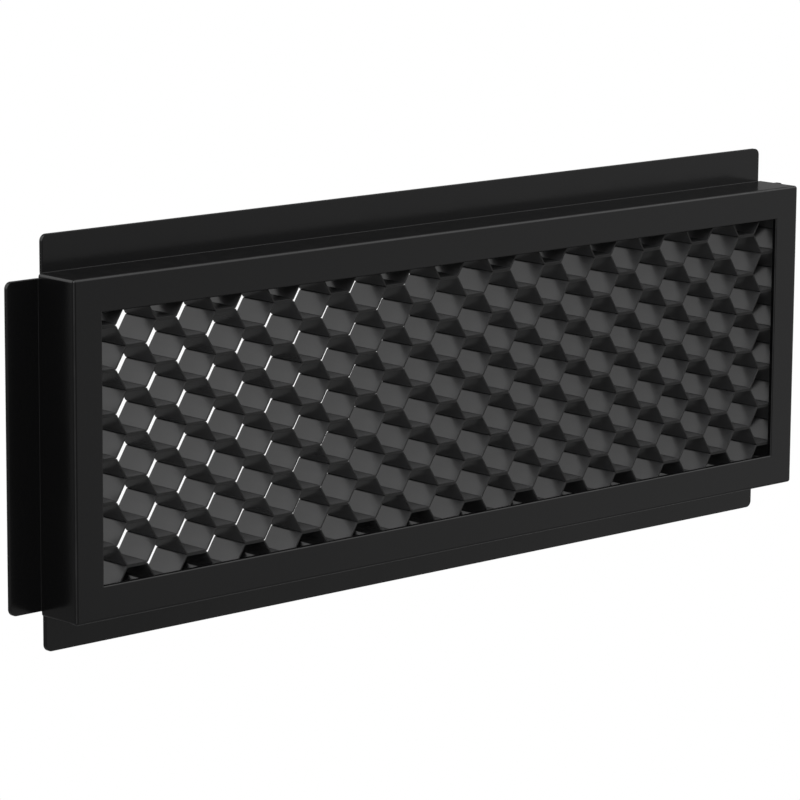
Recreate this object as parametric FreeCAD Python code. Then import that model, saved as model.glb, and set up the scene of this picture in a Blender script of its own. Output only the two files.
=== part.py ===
import FreeCAD, Part
import math
import os

# Honeycomb grid for a strip light: a folded sheet frame that holds a core of corrugated strips.
# Millimetres. +X runs along the strip, -Y is the front that the light leaves by, +Z is up.
# The origin is the middle of the flanges' rear plane, which seats against the lamp's holder.

# Frame, folded from one sheet
box_width = 299.0  # over the two side walls
box_height = 98.6  # over the top and bottom walls
sheet = 1.5
bezel_width = 10.2  # outer edge of the box to the opening
fold_radius = 0.9  # outside of the front folds, grooved and folded sharp, and of the welded corners
opening_round = 0.5  # front edge of the opening
flange_width = 10.8
corner_fit = 0.1  # a long flange's fold stops this far short of the side wall's inner face
flange_corner = 2.0
root_radius = 0.1  # inside of the fold from wall to flange, pressed nearly sharp

# Honeycomb core, strips bonded back to back
cell_pitch = 12.7  # one cell to the next in a column, across the flats
strip_sheet = 0.5
core_depth = 13.7
first_column = 10.8  # inner face of the left wall to the first whole column of cells
stack_fit = 0.35  # left over above the stack, which stands on the bottom wall
end_fit = 0.25  # at each end of a strip

# Angles that hold the core from behind
angle_sheet = 1.0
angle_lap = 7.0  # leg that lies on the core
angle_wall_leg = 2.0  # leg that lies on the frame's wall
angle_fit = 0.2  # between the ends of neighbouring angles
rear_recess = 2.3  # from the core's back to the rear plane

# What follows from them
frame_depth = sheet + core_depth + rear_recess
front = -frame_depth
wall_end = -sheet - root_radius  # where the walls stop and the flanges' folds start
core_front = front + sheet
core_back = core_front + core_depth
half_width = box_width / 2
half_height = box_height / 2
inner_half_width = half_width - sheet
inner_half_height = half_height - sheet
long_flange_half = inner_half_width - corner_fit
side_flange_half = inner_half_height
column_pitch = cell_pitch * math.sqrt(3) / 2
flat_length = column_pitch * 2 / 3
stack_height = 2 * inner_half_height - stack_fit
strip_count = round(stack_height / (cell_pitch / 2))
strip_pitch = stack_height / strip_count

# Side name, turn about +Y from the top, half its flange's length, distance from the middle
SIDES = (
    ("top", 0, long_flange_half, half_height),
    ("right", 90, side_flange_half, half_width),
    ("bottom", 180, long_flange_half, half_height),
    ("left", 270, side_flange_half, half_width),
)
TINY = 1e-6


def block(x, y, z):
    """Box between pairs of limits."""
    corner = FreeCAD.Vector(x[0], y[0], z[0])
    return Part.makeBox(x[1] - x[0], y[1] - y[0], z[1] - z[0], corner)


def rod(radius, half_length, y, z):
    """Cylinder along X."""
    start = FreeCAD.Vector(-half_length, y, z)
    return Part.makeCylinder(radius, 2 * half_length, start, FreeCAD.Vector(1, 0, 0))


def turned(shape, angle):
    """Copy of a shape made for the top side, turned about Y to another side."""
    copy = shape.copy()
    copy.rotate(FreeCAD.Vector(0, 0, 0), FreeCAD.Vector(0, 1, 0), angle)
    return copy


def edges_along_y(shape, x_limit, z_limit):
    """Edges that run front to back, further out than the two limits."""
    found = []
    for edge in shape.Edges:
        box = edge.BoundBox
        straight = box.XLength < TINY and box.ZLength < TINY
        if straight and abs(box.XMin) > x_limit and box.ZMin > z_limit:
            found.append(edge)
    return found


def edges_in_front(shape, x_limit, z_limit):
    """Edges that lie in the front plane, no further out than the two limits."""
    found = []
    for edge in shape.Edges:
        box = edge.BoundBox
        flat = abs(box.YMin - front) < TINY and abs(box.YMax - front) < TINY
        if flat and box.XMax < x_limit and box.ZMax < z_limit:
            found.append(edge)
    return found


def folded_box():
    """Bezel and the four walls behind it, with rounded folds and corners."""
    outside = block((-half_width, half_width), (front, wall_end), (-half_height, half_height))
    rounded = []
    for edge in outside.Edges:
        if edge.BoundBox.YMin < wall_end - TINY:
            rounded.append(edge)
    outside = outside.makeFillet(fold_radius, rounded)
    hollow = block(
        (-inner_half_width, inner_half_width),
        (core_front, sheet),
        (-inner_half_height, inner_half_height),
    )
    open_x = half_width - bezel_width
    open_z = half_height - bezel_width
    opening = block((-open_x, open_x), (front - sheet, core_front + sheet), (-open_z, open_z))
    shell = outside.cut(hollow).cut(opening)
    rim = edges_in_front(shell, open_x + TINY, open_z + TINY)
    return shell.makeFillet(opening_round, rim)


def flange(half_span, reach):
    """Flange at the top of a wall that stands at reach, with the fold that joins them."""
    plate = block((-half_span, half_span), (-sheet, 0), (reach - sheet, reach + flange_width))
    corners = edges_along_y(plate, half_span - TINY, reach)
    plate = plate.makeFillet(flange_corner, corners)
    fold_z = reach + root_radius
    corner = block((-half_span, half_span), (wall_end, 0), (reach - sheet, fold_z))
    fold = corner.cut(rod(root_radius, half_span, wall_end, fold_z))
    outside = corner.cut(rod(root_radius + sheet, half_span, wall_end, fold_z))
    return plate.fuse(fold).cut(outside)


def front_frame():
    frame = folded_box()
    for name, angle, half_span, reach in SIDES:
        frame = frame.fuse(turned(flange(half_span, reach), angle))
    return frame.removeSplitter()


def strip_outline(number):
    """Closed zigzag outline of a strip in the core's front plane."""
    low = -inner_half_height + (number - 1) * strip_pitch + strip_sheet / 2
    high = low + strip_pitch - strip_sheet
    slope = math.atan2(high - low, column_pitch - flat_length)
    mitre = strip_sheet / 2 * math.tan(slope / 2)
    columns = math.ceil(2 * inner_half_width / column_pitch) + 3
    upper = []
    lower = []
    for column in range(-2, columns):
        middle = -inner_half_width + first_column + column * column_pitch
        is_low = (column + number) % 2 == 0
        level = low if is_low else high
        long_half = flat_length / 2 + mitre
        short_half = flat_length / 2 - mitre
        above = short_half if is_low else long_half
        below = long_half if is_low else short_half
        for side in (-1, 1):
            upper.append(FreeCAD.Vector(middle + side * above, core_front, level + strip_sheet / 2))
            lower.append(FreeCAD.Vector(middle + side * below, core_front, level - strip_sheet / 2))
    return upper + lower[::-1] + upper[:1]


def core_strip(number):
    """One corrugated strip, counted from the bottom, its flats on its neighbours' flats."""
    face = Part.Face(Part.makePolygon(strip_outline(number)))
    strip = face.extrude(FreeCAD.Vector(0, core_depth, 0))
    end = inner_half_width - end_fit
    kept = block((-end, end), (core_front, core_back), (-half_height, half_height))
    return strip.common(kept)


def retaining_angle(half_length, reach):
    """Angle in the rear corner between the core's back and a wall whose inner face is at reach."""
    on_core = block(
        (-half_length, half_length), (core_back, core_back + angle_sheet), (reach - angle_lap, reach)
    )
    on_wall = block(
        (-half_length, half_length), (core_back, core_back + angle_wall_leg), (reach - angle_sheet, reach)
    )
    return on_core.fuse(on_wall).removeSplitter()


def save(shape, node):
    """Write a sub-part, unwrapped to its own solid."""
    solid = shape.Solids[0] if len(shape.Solids) == 1 else shape
    solid.exportStep(os.path.join("parts", node + ".step"))


os.makedirs("parts", exist_ok=True)
save(front_frame(), "front_frame")
for number in range(1, strip_count + 1):
    save(core_strip(number), "core_strip_%02d" % number)
for name, angle, half_span, reach in SIDES:
    across = name in ("top", "bottom")
    clear_half = inner_half_width - angle_fit if across else inner_half_height - angle_lap - angle_fit
    save(turned(retaining_angle(clear_half, reach - sheet), angle), "retainer_" + name)
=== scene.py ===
import math

import bpy
from mathutils import Matrix, Vector


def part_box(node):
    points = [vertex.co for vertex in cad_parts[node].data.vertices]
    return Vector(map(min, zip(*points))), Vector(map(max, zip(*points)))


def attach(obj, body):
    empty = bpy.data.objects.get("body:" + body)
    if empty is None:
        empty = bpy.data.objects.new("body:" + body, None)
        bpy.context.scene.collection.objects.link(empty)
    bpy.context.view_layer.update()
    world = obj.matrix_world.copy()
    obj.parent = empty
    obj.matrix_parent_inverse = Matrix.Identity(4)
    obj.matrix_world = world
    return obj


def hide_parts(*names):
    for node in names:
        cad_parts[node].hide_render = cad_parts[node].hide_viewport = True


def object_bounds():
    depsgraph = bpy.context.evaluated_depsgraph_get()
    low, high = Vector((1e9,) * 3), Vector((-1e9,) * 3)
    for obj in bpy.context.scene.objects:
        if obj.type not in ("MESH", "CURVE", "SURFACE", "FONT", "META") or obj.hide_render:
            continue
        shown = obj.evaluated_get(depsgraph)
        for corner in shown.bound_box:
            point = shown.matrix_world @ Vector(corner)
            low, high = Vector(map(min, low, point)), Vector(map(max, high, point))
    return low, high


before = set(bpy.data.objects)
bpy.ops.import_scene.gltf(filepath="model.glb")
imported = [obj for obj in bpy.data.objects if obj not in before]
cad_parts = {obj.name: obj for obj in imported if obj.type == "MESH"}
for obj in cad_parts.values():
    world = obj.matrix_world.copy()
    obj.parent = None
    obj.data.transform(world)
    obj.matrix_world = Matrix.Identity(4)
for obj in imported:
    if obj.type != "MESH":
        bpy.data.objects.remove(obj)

# Honeycomb grid for a strip light. Metres. +X along the strip, -Y the front, +Z up.
cadLow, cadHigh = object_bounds()
mm = 0.001
tiny = 1e-6
facesThatWay = 0.9  # a normal this near to a direction faces it

# sizes that the frame gives
frameLow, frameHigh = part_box("front_frame")
stripLow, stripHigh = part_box("core_strip_01")
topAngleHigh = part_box("retainer_top")[1]
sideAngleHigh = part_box("retainer_right")[1]
frontPlane = frameLow.y
rearPlane = frameHigh.y
coreFront = stripLow.y
coreBack = stripHigh.y
sheetThickness = coreFront - frontPlane
innerHalfWidth = sideAngleHigh.x
innerHalfHeight = topAngleHigh.z
boxHalfWidth = innerHalfWidth + sheetThickness
boxHalfHeight = innerHalfHeight + sheetThickness
flangeWidth = frameHigh.x - boxHalfWidth
stripPitch = stripHigh.z - stripLow.z
stripCount = sum(node.startswith("core_strip_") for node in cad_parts)
print("frame loaded,", len(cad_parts), "nodes,", stripCount, "strips")


# pick, cut and place in edit mode

def deselectAll():
    if bpy.context.object and bpy.context.object.mode != "OBJECT":
        bpy.ops.object.mode_set(mode="OBJECT")
    bpy.ops.object.select_all(action="DESELECT")


def makeActive(piece):
    deselectAll()
    piece.select_set(True)
    bpy.context.view_layer.objects.active = piece


def applyPlace():
    bpy.ops.object.transform_apply(location=True, rotation=True, scale=True)


def addBlock(name, low, high):
    deselectAll()
    bpy.ops.mesh.primitive_cube_add(size=1, location=(low + high) / 2, scale=high - low)
    block = bpy.context.object
    block.name = name
    applyPlace()
    return block


def startPick(kind):
    bpy.ops.object.mode_set(mode="EDIT")
    bpy.ops.mesh.select_mode(type=kind)
    bpy.ops.mesh.select_all(action="DESELECT")
    bpy.ops.object.mode_set(mode="OBJECT")


def pickFaces(piece, wanted):
    startPick("FACE")
    for face in piece.data.polygons:
        face.select = bool(wanted(face.center, face.normal))
    bpy.ops.object.mode_set(mode="EDIT")


def pickEdges(piece, wanted):
    startPick("EDGE")
    points = piece.data.vertices
    for edge in piece.data.edges:
        start, end = (points[number].co for number in edge.vertices)
        edge.select = bool(wanted(start, end))
    bpy.ops.object.mode_set(mode="EDIT")


def extrudeBy(move):
    bpy.ops.mesh.extrude_region_move(TRANSFORM_OT_translate={"value": move})


def applyModifier(piece, kind, **settings):
    makeActive(piece)
    modifier = piece.modifiers.new(kind.lower(), kind)
    for setting, value in settings.items():
        setattr(modifier, setting, value)
    bpy.ops.object.modifier_apply(modifier=modifier.name)


def finishShading(piece, degrees):
    makeActive(piece)
    bpy.ops.object.shade_smooth_by_angle(angle=math.radians(degrees))
    # the broad faces stay flat, and only the roundings turn
    applyModifier(piece, "WEIGHTED_NORMAL", mode="FACE_AREA", weight=100, keep_sharp=True)


# front frame

frameSizes = {
    "bezelWidth": 10.2 * mm,  # outside of the box to the opening
    "foldRadius": 0.9 * mm,  # front folds and welded corners
    "foldSteps": 6,
    "openingRound": 0.5 * mm,
    "openingSteps": 4,
    "cornerFit": 0.1 * mm,  # long flanges stop this short of the side walls' inner faces
    "flangeCorner": 2.0 * mm,
    "flangeCornerSteps": 8,
    "rootRadius": 0.1 * mm,  # inside of the fold from wall to flange
    "rootSteps": 5,
    "edgeSoftening": 0.15 * mm,  # what the paint rounds off the cut edges
    "softeningSteps": 2,
    "softenAbove": 35,  # degrees between faces
    "smoothBelow": 30,
    "weldReach": 0.02 * mm,  # points this near become one
}
backward = Vector((0, 1, 0))
longHalf = innerHalfWidth - frameSizes["cornerFit"]
sides = {
    # outward, along, the wall's distance out, half of the flange's length
    "top": (Vector((0, 0, 1)), Vector((1, 0, 0)), boxHalfHeight, longHalf),
    "bottom": (Vector((0, 0, -1)), Vector((1, 0, 0)), boxHalfHeight, longHalf),
    "left": (Vector((-1, 0, 0)), Vector((0, 0, 1)), boxHalfWidth, innerHalfHeight),
    "right": (Vector((1, 0, 0)), Vector((0, 0, 1)), boxHalfWidth, innerHalfHeight),
}


def foldFlange(shell, wallEnd, outward, along, reach, halfSpan):
    sizes = frameSizes
    innerReach = reach - sheetThickness

    def onRim(middle, normal):
        return normal.y > facesThatWay and abs(middle.y - wallEnd) < tiny and middle.dot(outward) > innerReach

    for end in (-halfSpan, halfSpan):  # mark the flange's ends
        pickFaces(shell, onRim)
        bpy.ops.mesh.bisect(plane_co=along * end, plane_no=along, threshold=tiny)
    pickFaces(shell, lambda middle, normal: onRim(middle, normal) and abs(middle.dot(along)) < tiny)
    bpy.ops.mesh.spin(
        steps=sizes["rootSteps"],
        angle=math.pi / 2,
        center=outward * (reach + sizes["rootRadius"]) + Vector((0, wallEnd, 0)),
        axis=outward.cross(backward),
    )
    extrudeBy(outward * (flangeWidth - sizes["rootRadius"]))

    def isCorner(start, end):
        far = min(start.dot(outward), end.dot(outward)) > reach + flangeWidth - tiny
        return far and min(abs(start.dot(along)), abs(end.dot(along))) > halfSpan - tiny

    def runsAlongY(start, end):
        return (end - start).cross(backward).length < tiny

    pickEdges(shell, lambda start, end: isCorner(start, end) and runsAlongY(start, end))
    bpy.ops.mesh.bevel(
        offset=sizes["flangeCorner"], segments=sizes["flangeCornerSteps"], affect="EDGES"
    )


def buildFrame():
    sizes = frameSizes
    wallEnd = rearPlane - sheetThickness - sizes["rootRadius"]
    low = Vector((-boxHalfWidth, frontPlane, -boxHalfHeight))
    high = Vector((boxHalfWidth, wallEnd, boxHalfHeight))
    shell = addBlock("folded_frame", low, high)

    # hollow it from behind
    pickFaces(shell, lambda middle, normal: normal.y > facesThatWay)
    bpy.ops.mesh.inset(thickness=sheetThickness)
    extrudeBy((0, coreFront - wallEnd, 0))

    # cut the opening through the front
    pickFaces(shell, lambda middle, normal: normal.y < -facesThatWay)
    bpy.ops.mesh.inset(thickness=sizes["bezelWidth"])
    extrudeBy((0, sheetThickness, 0))
    bpy.ops.mesh.delete(type="ONLY_FACE")
    pickFaces(shell, lambda middle, normal: normal.y > facesThatWay and middle.y < coreFront + tiny)
    bpy.ops.mesh.inset(thickness=sizes["bezelWidth"] - sheetThickness)
    bpy.ops.mesh.delete(type="ONLY_FACE")
    bpy.ops.mesh.select_all(action="SELECT")
    bpy.ops.mesh.remove_doubles(threshold=sizes["weldReach"])

    # folds and welded corners
    def isOuterEdge(start, end):
        onSide = min(abs(start.x), abs(end.x)) > boxHalfWidth - tiny and start.x * end.x > 0
        onTop = min(abs(start.z), abs(end.z)) > boxHalfHeight - tiny and start.z * end.z > 0
        inFront = max(start.y, end.y) < frontPlane + tiny
        return onSide + onTop + inFront > 1

    pickEdges(shell, isOuterEdge)
    bpy.ops.mesh.bevel(offset=sizes["foldRadius"], segments=sizes["foldSteps"], affect="EDGES")
    openX = boxHalfWidth - sizes["bezelWidth"] + tiny
    openZ = boxHalfHeight - sizes["bezelWidth"] + tiny

    def onOpening(point):
        return point.y < frontPlane + tiny and abs(point.x) < openX and abs(point.z) < openZ

    pickEdges(shell, lambda start, end: onOpening(start) and onOpening(end))
    bpy.ops.mesh.bevel(
        offset=sizes["openingRound"], segments=sizes["openingSteps"], affect="EDGES"
    )

    for outward, along, reach, halfSpan in sides.values():
        foldFlange(shell, wallEnd, outward, along, reach, halfSpan)
    applyModifier(
        shell, "BEVEL", width=sizes["edgeSoftening"], segments=sizes["softeningSteps"],
        limit_method="ANGLE", angle_limit=math.radians(sizes["softenAbove"]),
        use_clamp_overlap=False, harden_normals=False,
    )
    finishShading(shell, sizes["smoothBelow"])
    return shell


# core of bonded strips

coreSizes = {
    "firstColumn": 10.8 * mm,  # inner face of the left wall to the first whole column
    "stripSheet": 0.5 * mm,
    "bendCut": 0.28 * mm,  # how far a bend's rounding runs along its flats
    "bendSteps": 2,
    "edgeSoftening": 0.07 * mm,
    "softenAbove": 60,
    "smoothBelow": 40,
}
columnPitch = stripPitch * math.sqrt(3)
flatLength = columnPitch * 2 / 3


def buildStrip(name, number):
    sizes = coreSizes
    bottom = stripLow.z + (number - 1) * stripPitch + sizes["stripSheet"] / 2
    rise = stripPitch - sizes["stripSheet"]
    middle = -innerHalfWidth + sizes["firstColumn"] - columnPitch
    isLow = number % 2 == 1
    # one flat, then slope and flat in turn
    deselectAll()
    start = (middle, (coreFront + coreBack) / 2, bottom if isLow else bottom + rise)
    bpy.ops.mesh.primitive_plane_add(size=1, location=start)
    bpy.ops.transform.resize(value=(flatLength, coreBack - coreFront, 1))
    strip = bpy.context.object
    strip.name = name
    applyPlace()
    lastX = middle + flatLength / 2
    pickEdges(strip, lambda start, end: min(start.x, end.x) > lastX - tiny)
    while lastX < stripHigh.x:
        extrudeBy((columnPitch - flatLength, 0, rise if isLow else -rise))
        extrudeBy((flatLength, 0, 0))
        isLow = not isLow
        lastX += columnPitch
    # trim both ends to the core's length
    for end in (stripLow.x, stripHigh.x):
        pickFaces(strip, lambda middle, normal: True)
        bpy.ops.mesh.bisect(
            plane_co=(end, 0, 0), plane_no=(1, 0, 0), threshold=tiny,
            clear_inner=end < 0, clear_outer=end > 0,
        )

    def isBend(start, end):
        inside = stripLow.x + tiny < start.x < stripHigh.x - tiny
        return inside and abs(start.x - end.x) < tiny and abs(start.z - end.z) < tiny

    pickEdges(strip, isBend)
    bpy.ops.mesh.bevel(offset=sizes["bendCut"], segments=sizes["bendSteps"], affect="EDGES")
    applyModifier(
        strip, "SOLIDIFY", thickness=sizes["stripSheet"], offset=0, use_even_offset=True
    )
    applyModifier(
        strip, "BEVEL", width=sizes["edgeSoftening"], segments=1, limit_method="ANGLE",
        angle_limit=math.radians(sizes["softenAbove"]), use_clamp_overlap=True,
    )
    finishShading(strip, sizes["smoothBelow"])
    return strip


def copyStrip(strip, name, lift):
    makeActive(strip)
    bpy.ops.object.duplicate(linked=False)
    copy = bpy.context.object
    copy.name = name
    bpy.ops.transform.translate(value=(0, 0, lift))
    applyPlace()
    return copy


def buildCore():
    first = buildStrip("strip_01", 1)
    second = buildStrip("strip_02", 2)
    strips = [first, second]
    for number in range(3, stripCount + 1):
        master = first if number % 2 == 1 else second
        startNumber = 1 if number % 2 == 1 else 2
        strips.append(copyStrip(master, "strip_%02d" % number, (number - startNumber) * stripPitch))
    return strips


# retaining angles

angleSizes = {
    "sheet": 1.0 * mm,
    "edgeSoftening": 0.15 * mm,
    "softeningSteps": 2,
    "softenAbove": 35,
    "smoothBelow": 30,
}


def buildAngle(side, node):
    sizes = angleSizes
    low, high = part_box(node)
    # leg that lies on the core
    angle = addBlock("angle_" + side, low, Vector((high.x, low.y + sizes["sheet"], high.z)))
    outward = sides[side][0]
    legInside = max(high.dot(outward), low.dot(outward)) - sizes["sheet"]
    # mark off a strip at the wall and pull it back as the second leg
    pickFaces(angle, lambda middle, normal: True)
    bpy.ops.mesh.bisect(plane_co=outward * legInside, plane_no=outward, threshold=tiny)

    def atWall(middle, normal):
        return normal.y > facesThatWay and middle.dot(outward) > legInside

    pickFaces(angle, atWall)
    extrudeBy((0, high.y - low.y - sizes["sheet"], 0))
    applyModifier(
        angle, "BEVEL", width=sizes["edgeSoftening"], segments=sizes["softeningSteps"],
        limit_method="ANGLE", angle_limit=math.radians(sizes["softenAbove"]),
    )
    finishShading(angle, sizes["smoothBelow"])
    return angle


# nodes that the finishes are made of

def addNode(tree, kind, **settings):
    node = tree.nodes.new("ShaderNode" + kind)
    for setting, value in settings.items():
        setattr(node, setting, value)
    return node


def feed(tree, socket, source):
    # a socket takes another's output, or a fixed value
    if isinstance(source, bpy.types.NodeSocket):
        tree.links.new(source, socket)
    else:
        socket.default_value = source


def calculate(tree, operation, first, second=0.0):
    node = addNode(tree, "Math", operation=operation)
    feed(tree, node.inputs[0], first)
    feed(tree, node.inputs[1], second)
    return node.outputs[0]


def spread(tree, value, low, high, toLow=0.0, toHigh=1.0):
    node = addNode(tree, "MapRange", interpolation_type="SMOOTHSTEP")
    feed(tree, node.inputs["Value"], value)
    feed(tree, node.inputs["From Min"], low)
    feed(tree, node.inputs["From Max"], high)
    feed(tree, node.inputs["To Min"], toLow)
    feed(tree, node.inputs["To Max"], toHigh)
    return node.outputs["Result"]


def mixColor(tree, factor, first, second):
    node = addNode(tree, "Mix", data_type="RGBA")
    feed(tree, node.inputs["Factor"], factor)
    feed(tree, node.inputs["A"], first)
    feed(tree, node.inputs["B"], second)
    return node.outputs["Result"]


def noise(tree, place, scale, detail):
    node = addNode(tree, "TexNoise", noise_dimensions="3D")
    feed(tree, node.inputs["Vector"], place)
    feed(tree, node.inputs["Scale"], scale)
    node.inputs["Detail"].default_value = detail
    return node.outputs["Fac"]


def startGroup(name, sockets, results):
    group = bpy.data.node_groups.new(name, "ShaderNodeTree")
    group.interface.new_socket("Place", in_out="INPUT", socket_type="NodeSocketVector")
    for socketName in sockets:
        group.interface.new_socket(socketName, in_out="INPUT", socket_type="NodeSocketFloat")
    for resultName in results:
        group.interface.new_socket(resultName, in_out="OUTPUT", socket_type="NodeSocketFloat")
    return group, group.nodes.new("NodeGroupInput").outputs, group.nodes.new("NodeGroupOutput").inputs


dustColor = (0.2, 0.19, 0.18, 1)
effectLimits = {
    # noise detail, and the span of values that goes from none to all
    "grainDetail": 2,
    "driftDetail": 3,
    "drift": (0.3, 0.7),
    "wearDetail": 4,
    "wornPatches": (0.42, 0.66),
    "turnedAway": (0.97, 0.78),  # how flat a rubbed edge is, from untouched to worn
    "dustDetail": 6,
    "dustSpecks": (0.4, 0.75),
    "facingUp": (0.4, 1.0),
    "sawnEdge": (0.2, 0.7),  # how far it faces front or rear
}


def makeSurfaceGrain():
    # fine unevenness of a finish, with a slower drift of its sheen
    limits = effectLimits
    group, given, result = startGroup("surfaceGrain", ["Scale", "Drift Scale"], ["Height", "Drift"])
    height = noise(group, given["Place"], given["Scale"], limits["grainDetail"])
    feed(group, result["Height"], height)
    drift = noise(group, given["Place"], given["Drift Scale"], limits["driftDetail"])
    feed(group, result["Drift"], spread(group, drift, *limits["drift"]))
    return group


def makeEdgeWear():
    # rubbed patches where the surface turns away from the object's six flat directions
    limits = effectLimits
    group, given, result = startGroup("edgeWear", ["Amount", "Patch Scale"], ["Wear"])
    facing = addNode(group, "VectorMath", operation="ABSOLUTE")
    feed(group, facing.inputs[0], addNode(group, "NewGeometry").outputs["Normal"])
    parts = addNode(group, "SeparateXYZ")
    feed(group, parts.inputs[0], facing.outputs[0])
    flatness = calculate(group, "MAXIMUM", parts.outputs["X"], parts.outputs["Y"])
    flatness = calculate(group, "MAXIMUM", flatness, parts.outputs["Z"])
    turned = spread(group, flatness, *limits["turnedAway"])
    patches = noise(group, given["Place"], given["Patch Scale"], limits["wearDetail"])
    patches = spread(group, patches, *limits["wornPatches"])
    wear = calculate(group, "MULTIPLY", turned, patches)
    feed(group, result["Wear"], calculate(group, "MULTIPLY", wear, given["Amount"]))
    return group


def makeSettledDust():
    # dust that lies on faces that look up
    limits = effectLimits
    group, given, result = startGroup("settledDust", ["Amount", "Patch Scale"], ["Dust"])
    parts = addNode(group, "SeparateXYZ")
    feed(group, parts.inputs[0], addNode(group, "NewGeometry").outputs["Normal"])
    upward = spread(group, parts.outputs["Z"], *limits["facingUp"])
    specks = noise(group, given["Place"], given["Patch Scale"], limits["dustDetail"])
    specks = spread(group, specks, *limits["dustSpecks"])
    dust = calculate(group, "MULTIPLY", upward, specks)
    feed(group, result["Dust"], calculate(group, "MULTIPLY", dust, given["Amount"]))
    return group


surfaceGrain = makeSurfaceGrain()
edgeWear = makeEdgeWear()
settledDust = makeSettledDust()


def newMaterial(name):
    material = bpy.data.materials.new(name)
    material.use_nodes = True
    tree = material.node_tree
    return material, tree, tree.nodes["Principled BSDF"]


def useGroup(tree, group, place, values):
    node = addNode(tree, "Group", node_tree=group)
    feed(tree, node.inputs["Place"], place)
    for socketName, value in values.items():
        node.inputs[socketName].default_value = value
    return node.outputs


def stretchedPlace(tree, stretch):
    # object coordinates, drawn out where a finish runs one way
    mapping = addNode(tree, "Mapping")
    feed(tree, mapping.inputs["Vector"], addNode(tree, "TexCoord").outputs["Object"])
    mapping.inputs["Scale"].default_value = stretch
    return mapping.outputs["Vector"]


def raiseBump(tree, shader, height, depth):
    bump = addNode(tree, "Bump")
    bump.inputs["Strength"].default_value = 1
    bump.inputs["Distance"].default_value = depth
    feed(tree, bump.inputs["Height"], height)
    feed(tree, shader.inputs["Normal"], bump.outputs["Normal"])


paintFinish = {
    "color": (0.003, 0.003, 0.0032, 1),
    "wornColor": (0.03, 0.03, 0.031, 1),
    "roughness": (0.15, 0.2),
    "wornRoughness": 0.12,
    "grain": {"Scale": 900, "Drift Scale": 35},  # powder coat's orange peel, about 1 mm
    "grainDepth": 0.011 * mm,
    "wear": {"Amount": 0.3, "Patch Scale": 160},
    "dust": {"Amount": 0.02, "Patch Scale": 260},
}


def makePaint():
    finish = paintFinish
    material, tree, shader = newMaterial("satin_black_paint")
    place = stretchedPlace(tree, (1, 1, 1))
    grain = useGroup(tree, surfaceGrain, place, finish["grain"])
    wear = useGroup(tree, edgeWear, place, finish["wear"])["Wear"]
    dust = useGroup(tree, settledDust, place, finish["dust"])["Dust"]
    color = mixColor(tree, wear, finish["color"], finish["wornColor"])
    feed(tree, shader.inputs["Base Color"], mixColor(tree, dust, color, dustColor))
    smooth, rough = finish["roughness"]
    sheen = spread(tree, grain["Drift"], 0, 1, smooth, rough)
    rubbed = calculate(tree, "MULTIPLY", wear, finish["wornRoughness"] - smooth)
    feed(tree, shader.inputs["Roughness"], calculate(tree, "ADD", sheen, rubbed))
    raiseBump(tree, shader, grain["Height"], finish["grainDepth"])
    return material


coreFinish = {
    "color": (0.040, 0.040, 0.041, 1),
    "paleColor": (0.050, 0.050, 0.051, 1),
    "cutColor": (0.012, 0.012, 0.012, 1),  # the sawn front and rear edges
    "roughness": (0.19, 0.24),
    "cutRoughness": 0.7,
    "drawn": (1, 0.08, 1),  # the sheet is drawn front to back
    "grain": {"Scale": 700, "Drift Scale": 120},
    "grainDepth": 0.006 * mm,
    "dust": {"Amount": 0.02, "Patch Scale": 300},
}


def makeCoreFinish():
    finish = coreFinish
    material, tree, shader = newMaterial("black_core")
    place = stretchedPlace(tree, finish["drawn"])
    grain = useGroup(tree, surfaceGrain, place, finish["grain"])
    dust = useGroup(tree, settledDust, stretchedPlace(tree, (1, 1, 1)), finish["dust"])["Dust"]
    facing = addNode(tree, "SeparateXYZ")
    feed(tree, facing.inputs[0], addNode(tree, "NewGeometry").outputs["Normal"])
    sawn = calculate(tree, "ABSOLUTE", facing.outputs["Y"])
    sawn = spread(tree, sawn, *effectLimits["sawnEdge"])
    color = mixColor(tree, grain["Drift"], finish["color"], finish["paleColor"])
    color = mixColor(tree, sawn, color, finish["cutColor"])
    feed(tree, shader.inputs["Base Color"], mixColor(tree, dust, color, dustColor))
    smooth, rough = finish["roughness"]
    sheen = spread(tree, grain["Drift"], 0, 1, smooth, rough)
    dull = calculate(tree, "MULTIPLY", sawn, finish["cutRoughness"])
    feed(tree, shader.inputs["Roughness"], calculate(tree, "MAXIMUM", sheen, dull))
    raiseBump(tree, shader, grain["Height"], finish["grainDepth"])
    return material


angleFinish = {
    "color": (0.014, 0.014, 0.016, 1),
    "paleColor": (0.028, 0.028, 0.03, 1),
    "wornColor": (0.16, 0.16, 0.165, 1),
    "roughness": (0.3, 0.42),
    "brushed": 0.02,  # how far the brushing draws the grain out along the angle
    "grain": {"Scale": 2600, "Drift Scale": 700},
    "grainDepth": 0.004 * mm,
    "wear": {"Amount": 0.55, "Patch Scale": 240},
    "dust": {"Amount": 0.03, "Patch Scale": 260},
}


def makeAnodised(name, along):
    finish = angleFinish
    material, tree, shader = newMaterial(name)
    stretch = [finish["brushed"] if abs(part) > 0.5 else 1 for part in along]
    grain = useGroup(tree, surfaceGrain, stretchedPlace(tree, stretch), finish["grain"])
    place = stretchedPlace(tree, (1, 1, 1))
    wear = useGroup(tree, edgeWear, place, finish["wear"])["Wear"]
    dust = useGroup(tree, settledDust, place, finish["dust"])["Dust"]
    color = mixColor(tree, grain["Drift"], finish["color"], finish["paleColor"])
    color = mixColor(tree, wear, color, finish["wornColor"])
    feed(tree, shader.inputs["Base Color"], mixColor(tree, dust, color, dustColor))
    smooth, rough = finish["roughness"]
    feed(tree, shader.inputs["Roughness"], spread(tree, grain["Drift"], 0, 1, smooth, rough))
    raiseBump(tree, shader, grain["Height"], finish["grainDepth"])
    return material


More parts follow.
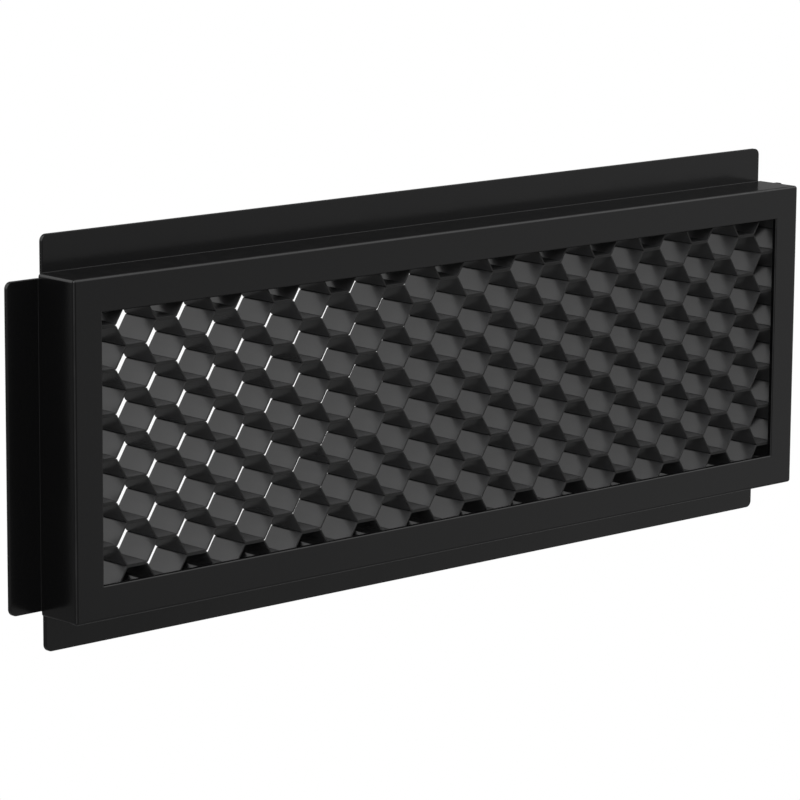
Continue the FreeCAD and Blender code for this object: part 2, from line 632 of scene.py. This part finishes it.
paint = makePaint()
plastic = makeCoreFinish()
anodised = {
    "top": makeAnodised("black_anodised_lengthways", (1, 0, 0)),
    "left": makeAnodised("black_anodised_upright", (0, 0, 1)),
}
anodised["bottom"] = anodised["top"]
anodised["right"] = anodised["left"]
print("finishes made")


def dress(piece, material, nodes):
    piece.data.materials.clear()
    piece.data.materials.append(material)
    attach(piece, "root")
    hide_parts(*nodes)


shell = buildFrame()
dress(shell, paint, ["front_frame"])
print("frame built,", len(shell.data.polygons), "faces")
for number, strip in enumerate(buildCore(), 1):
    dress(strip, plastic, ["core_strip_%02d" % number])
print("core built,", stripCount, "strips of", len(strip.data.polygons), "faces")
for side in sides:
    node = "retainer_" + side
    dress(buildAngle(side, node), anodised[side], [node])
print("angles built")


# camera

cameraView = {
    "turn": 42.69,  # degrees to the right of straight at the front
    "lookDown": 10.89,
    "roll": 0.39,
    "lens": 181.1,
    "sensor": 36,
    "distance": 1.2278,
    "aim": Vector((-0.0104, -0.0002, -0.0043)),
    "seesFrom": 0.01,
    "seesTo": 50,
}


def placeCamera():
    view = cameraView
    turn = math.radians(view["turn"])
    down = math.radians(view["lookDown"])
    roll = math.radians(view["roll"])
    forward = Vector((math.sin(turn) * math.cos(down), math.cos(turn) * math.cos(down), -math.sin(down)))
    level = Vector((math.cos(turn), -math.sin(turn), 0))
    upright = level.cross(forward)
    right = level * math.cos(roll) + upright * math.sin(roll)
    up = upright * math.cos(roll) - level * math.sin(roll)
    data = bpy.data.cameras.new("camera")
    data.lens = view["lens"]
    data.sensor_width = view["sensor"]
    data.clip_start = view["seesFrom"]
    data.clip_end = view["seesTo"]
    camera = bpy.data.objects.new("camera", data)
    bpy.context.scene.collection.objects.link(camera)
    axes = Matrix((right, up, -forward)).transposed().to_4x4()
    camera.matrix_world = Matrix.Translation(view["aim"] - forward * view["distance"]) @ axes
    bpy.context.scene.camera = camera


placeCamera()


# floor and light

studio = {
    "floorDrop": 0.25,  # below the object, which hangs free
    "floorRadius": 0.75,
    "floorCorners": 96,
    "floorTone": (0.2, 0.18),  # what the object sees of it: under it, and toneReach behind it
    "toneReach": 0.35,
    "floorRoughness": 0.9,
    "surround": 0.15,  # brightness of what is not lit
    "panels": [
        # direction, degrees to its bright middle and to its outer edge, brightness
        {"toward": (0.45, -0.4, 0.8), "inner": 12, "outer": 45, "power": 1.0},  # overhead
        {"toward": (-0.5, -0.45, 0.74), "inner": 15, "outer": 40, "power": 2.6},  # left, high
        {"toward": (-0.45, 0.78, 0.43), "inner": 8, "outer": 38, "power": 0.92},  # behind left
        {"toward": (0.98, -0.17, -0.1), "inner": 0, "outer": 60, "power": 0.38},  # right
        {"toward": (-0.72, -0.67, -0.1), "inner": 5, "outer": 35, "power": 0.36},  # front left
    ],
}


def layFloor():
    deselectAll()
    bpy.ops.mesh.primitive_circle_add(
        vertices=studio["floorCorners"], radius=studio["floorRadius"], fill_type="NGON",
        location=(0, 0, cadLow.z - studio["floorDrop"]),
    )
    floor = bpy.context.object
    floor.name = "floor"
    material, tree, shader = newMaterial("pale_floor")
    place = addNode(tree, "SeparateXYZ")
    feed(tree, place.inputs[0], addNode(tree, "TexCoord").outputs["Object"])
    near, far = ((tone, tone, tone, 1) for tone in studio["floorTone"])
    behind = spread(tree, place.outputs["Y"], 0, studio["toneReach"])
    feed(tree, shader.inputs["Base Color"], mixColor(tree, behind, near, far))
    shader.inputs["Roughness"].default_value = studio["floorRoughness"]
    # the floor itself shows as plain white
    lightPath = addNode(tree, "LightPath")
    glow = addNode(tree, "Emission")
    seen = addNode(tree, "MixShader")
    feed(tree, seen.inputs[0], lightPath.outputs["Is Camera Ray"])
    feed(tree, seen.inputs[1], shader.outputs[0])
    feed(tree, seen.inputs[2], glow.outputs[0])
    # clear from below, so that the object's underside can be looked at
    below = addNode(tree, "MixShader")
    feed(tree, below.inputs[0], addNode(tree, "NewGeometry").outputs["Backfacing"])
    feed(tree, below.inputs[1], seen.outputs[0])
    feed(tree, below.inputs[2], addNode(tree, "BsdfTransparent").outputs[0])
    feed(tree, tree.nodes["Material Output"].inputs["Surface"], below.outputs[0])
    floor.data.materials.append(material)


def lightRoom():
    world = bpy.data.worlds.new("studio")
    bpy.context.scene.world = world
    world.use_nodes = True
    tree = world.node_tree
    background = tree.nodes["Background"]
    background.inputs["Color"].default_value = (1, 1, 1, 1)
    direction = addNode(tree, "TexCoord").outputs["Generated"]
    total = studio["surround"]
    for panel in studio["panels"]:
        nearness = addNode(tree, "VectorMath", operation="DOT_PRODUCT")
        feed(tree, nearness.inputs[0], direction)
        feed(tree, nearness.inputs[1], Vector(panel["toward"]).normalized())
        outer = math.cos(math.radians(panel["outer"]))
        inner = math.cos(math.radians(panel["inner"]))
        glow = spread(tree, nearness.outputs["Value"], outer, inner, 0, panel["power"])
        total = calculate(tree, "ADD", total, glow)
    # the background itself is plain white
    choose = addNode(tree, "Mix", data_type="FLOAT")
    feed(tree, choose.inputs["Factor"], addNode(tree, "LightPath").outputs["Is Camera Ray"])
    feed(tree, choose.inputs["A"], total)
    choose.inputs["B"].default_value = 1
    feed(tree, background.inputs["Strength"], choose.outputs["Result"])
    bpy.context.scene.view_settings.view_transform = "Standard"


layFloor()
lightRoom()
print("studio set")
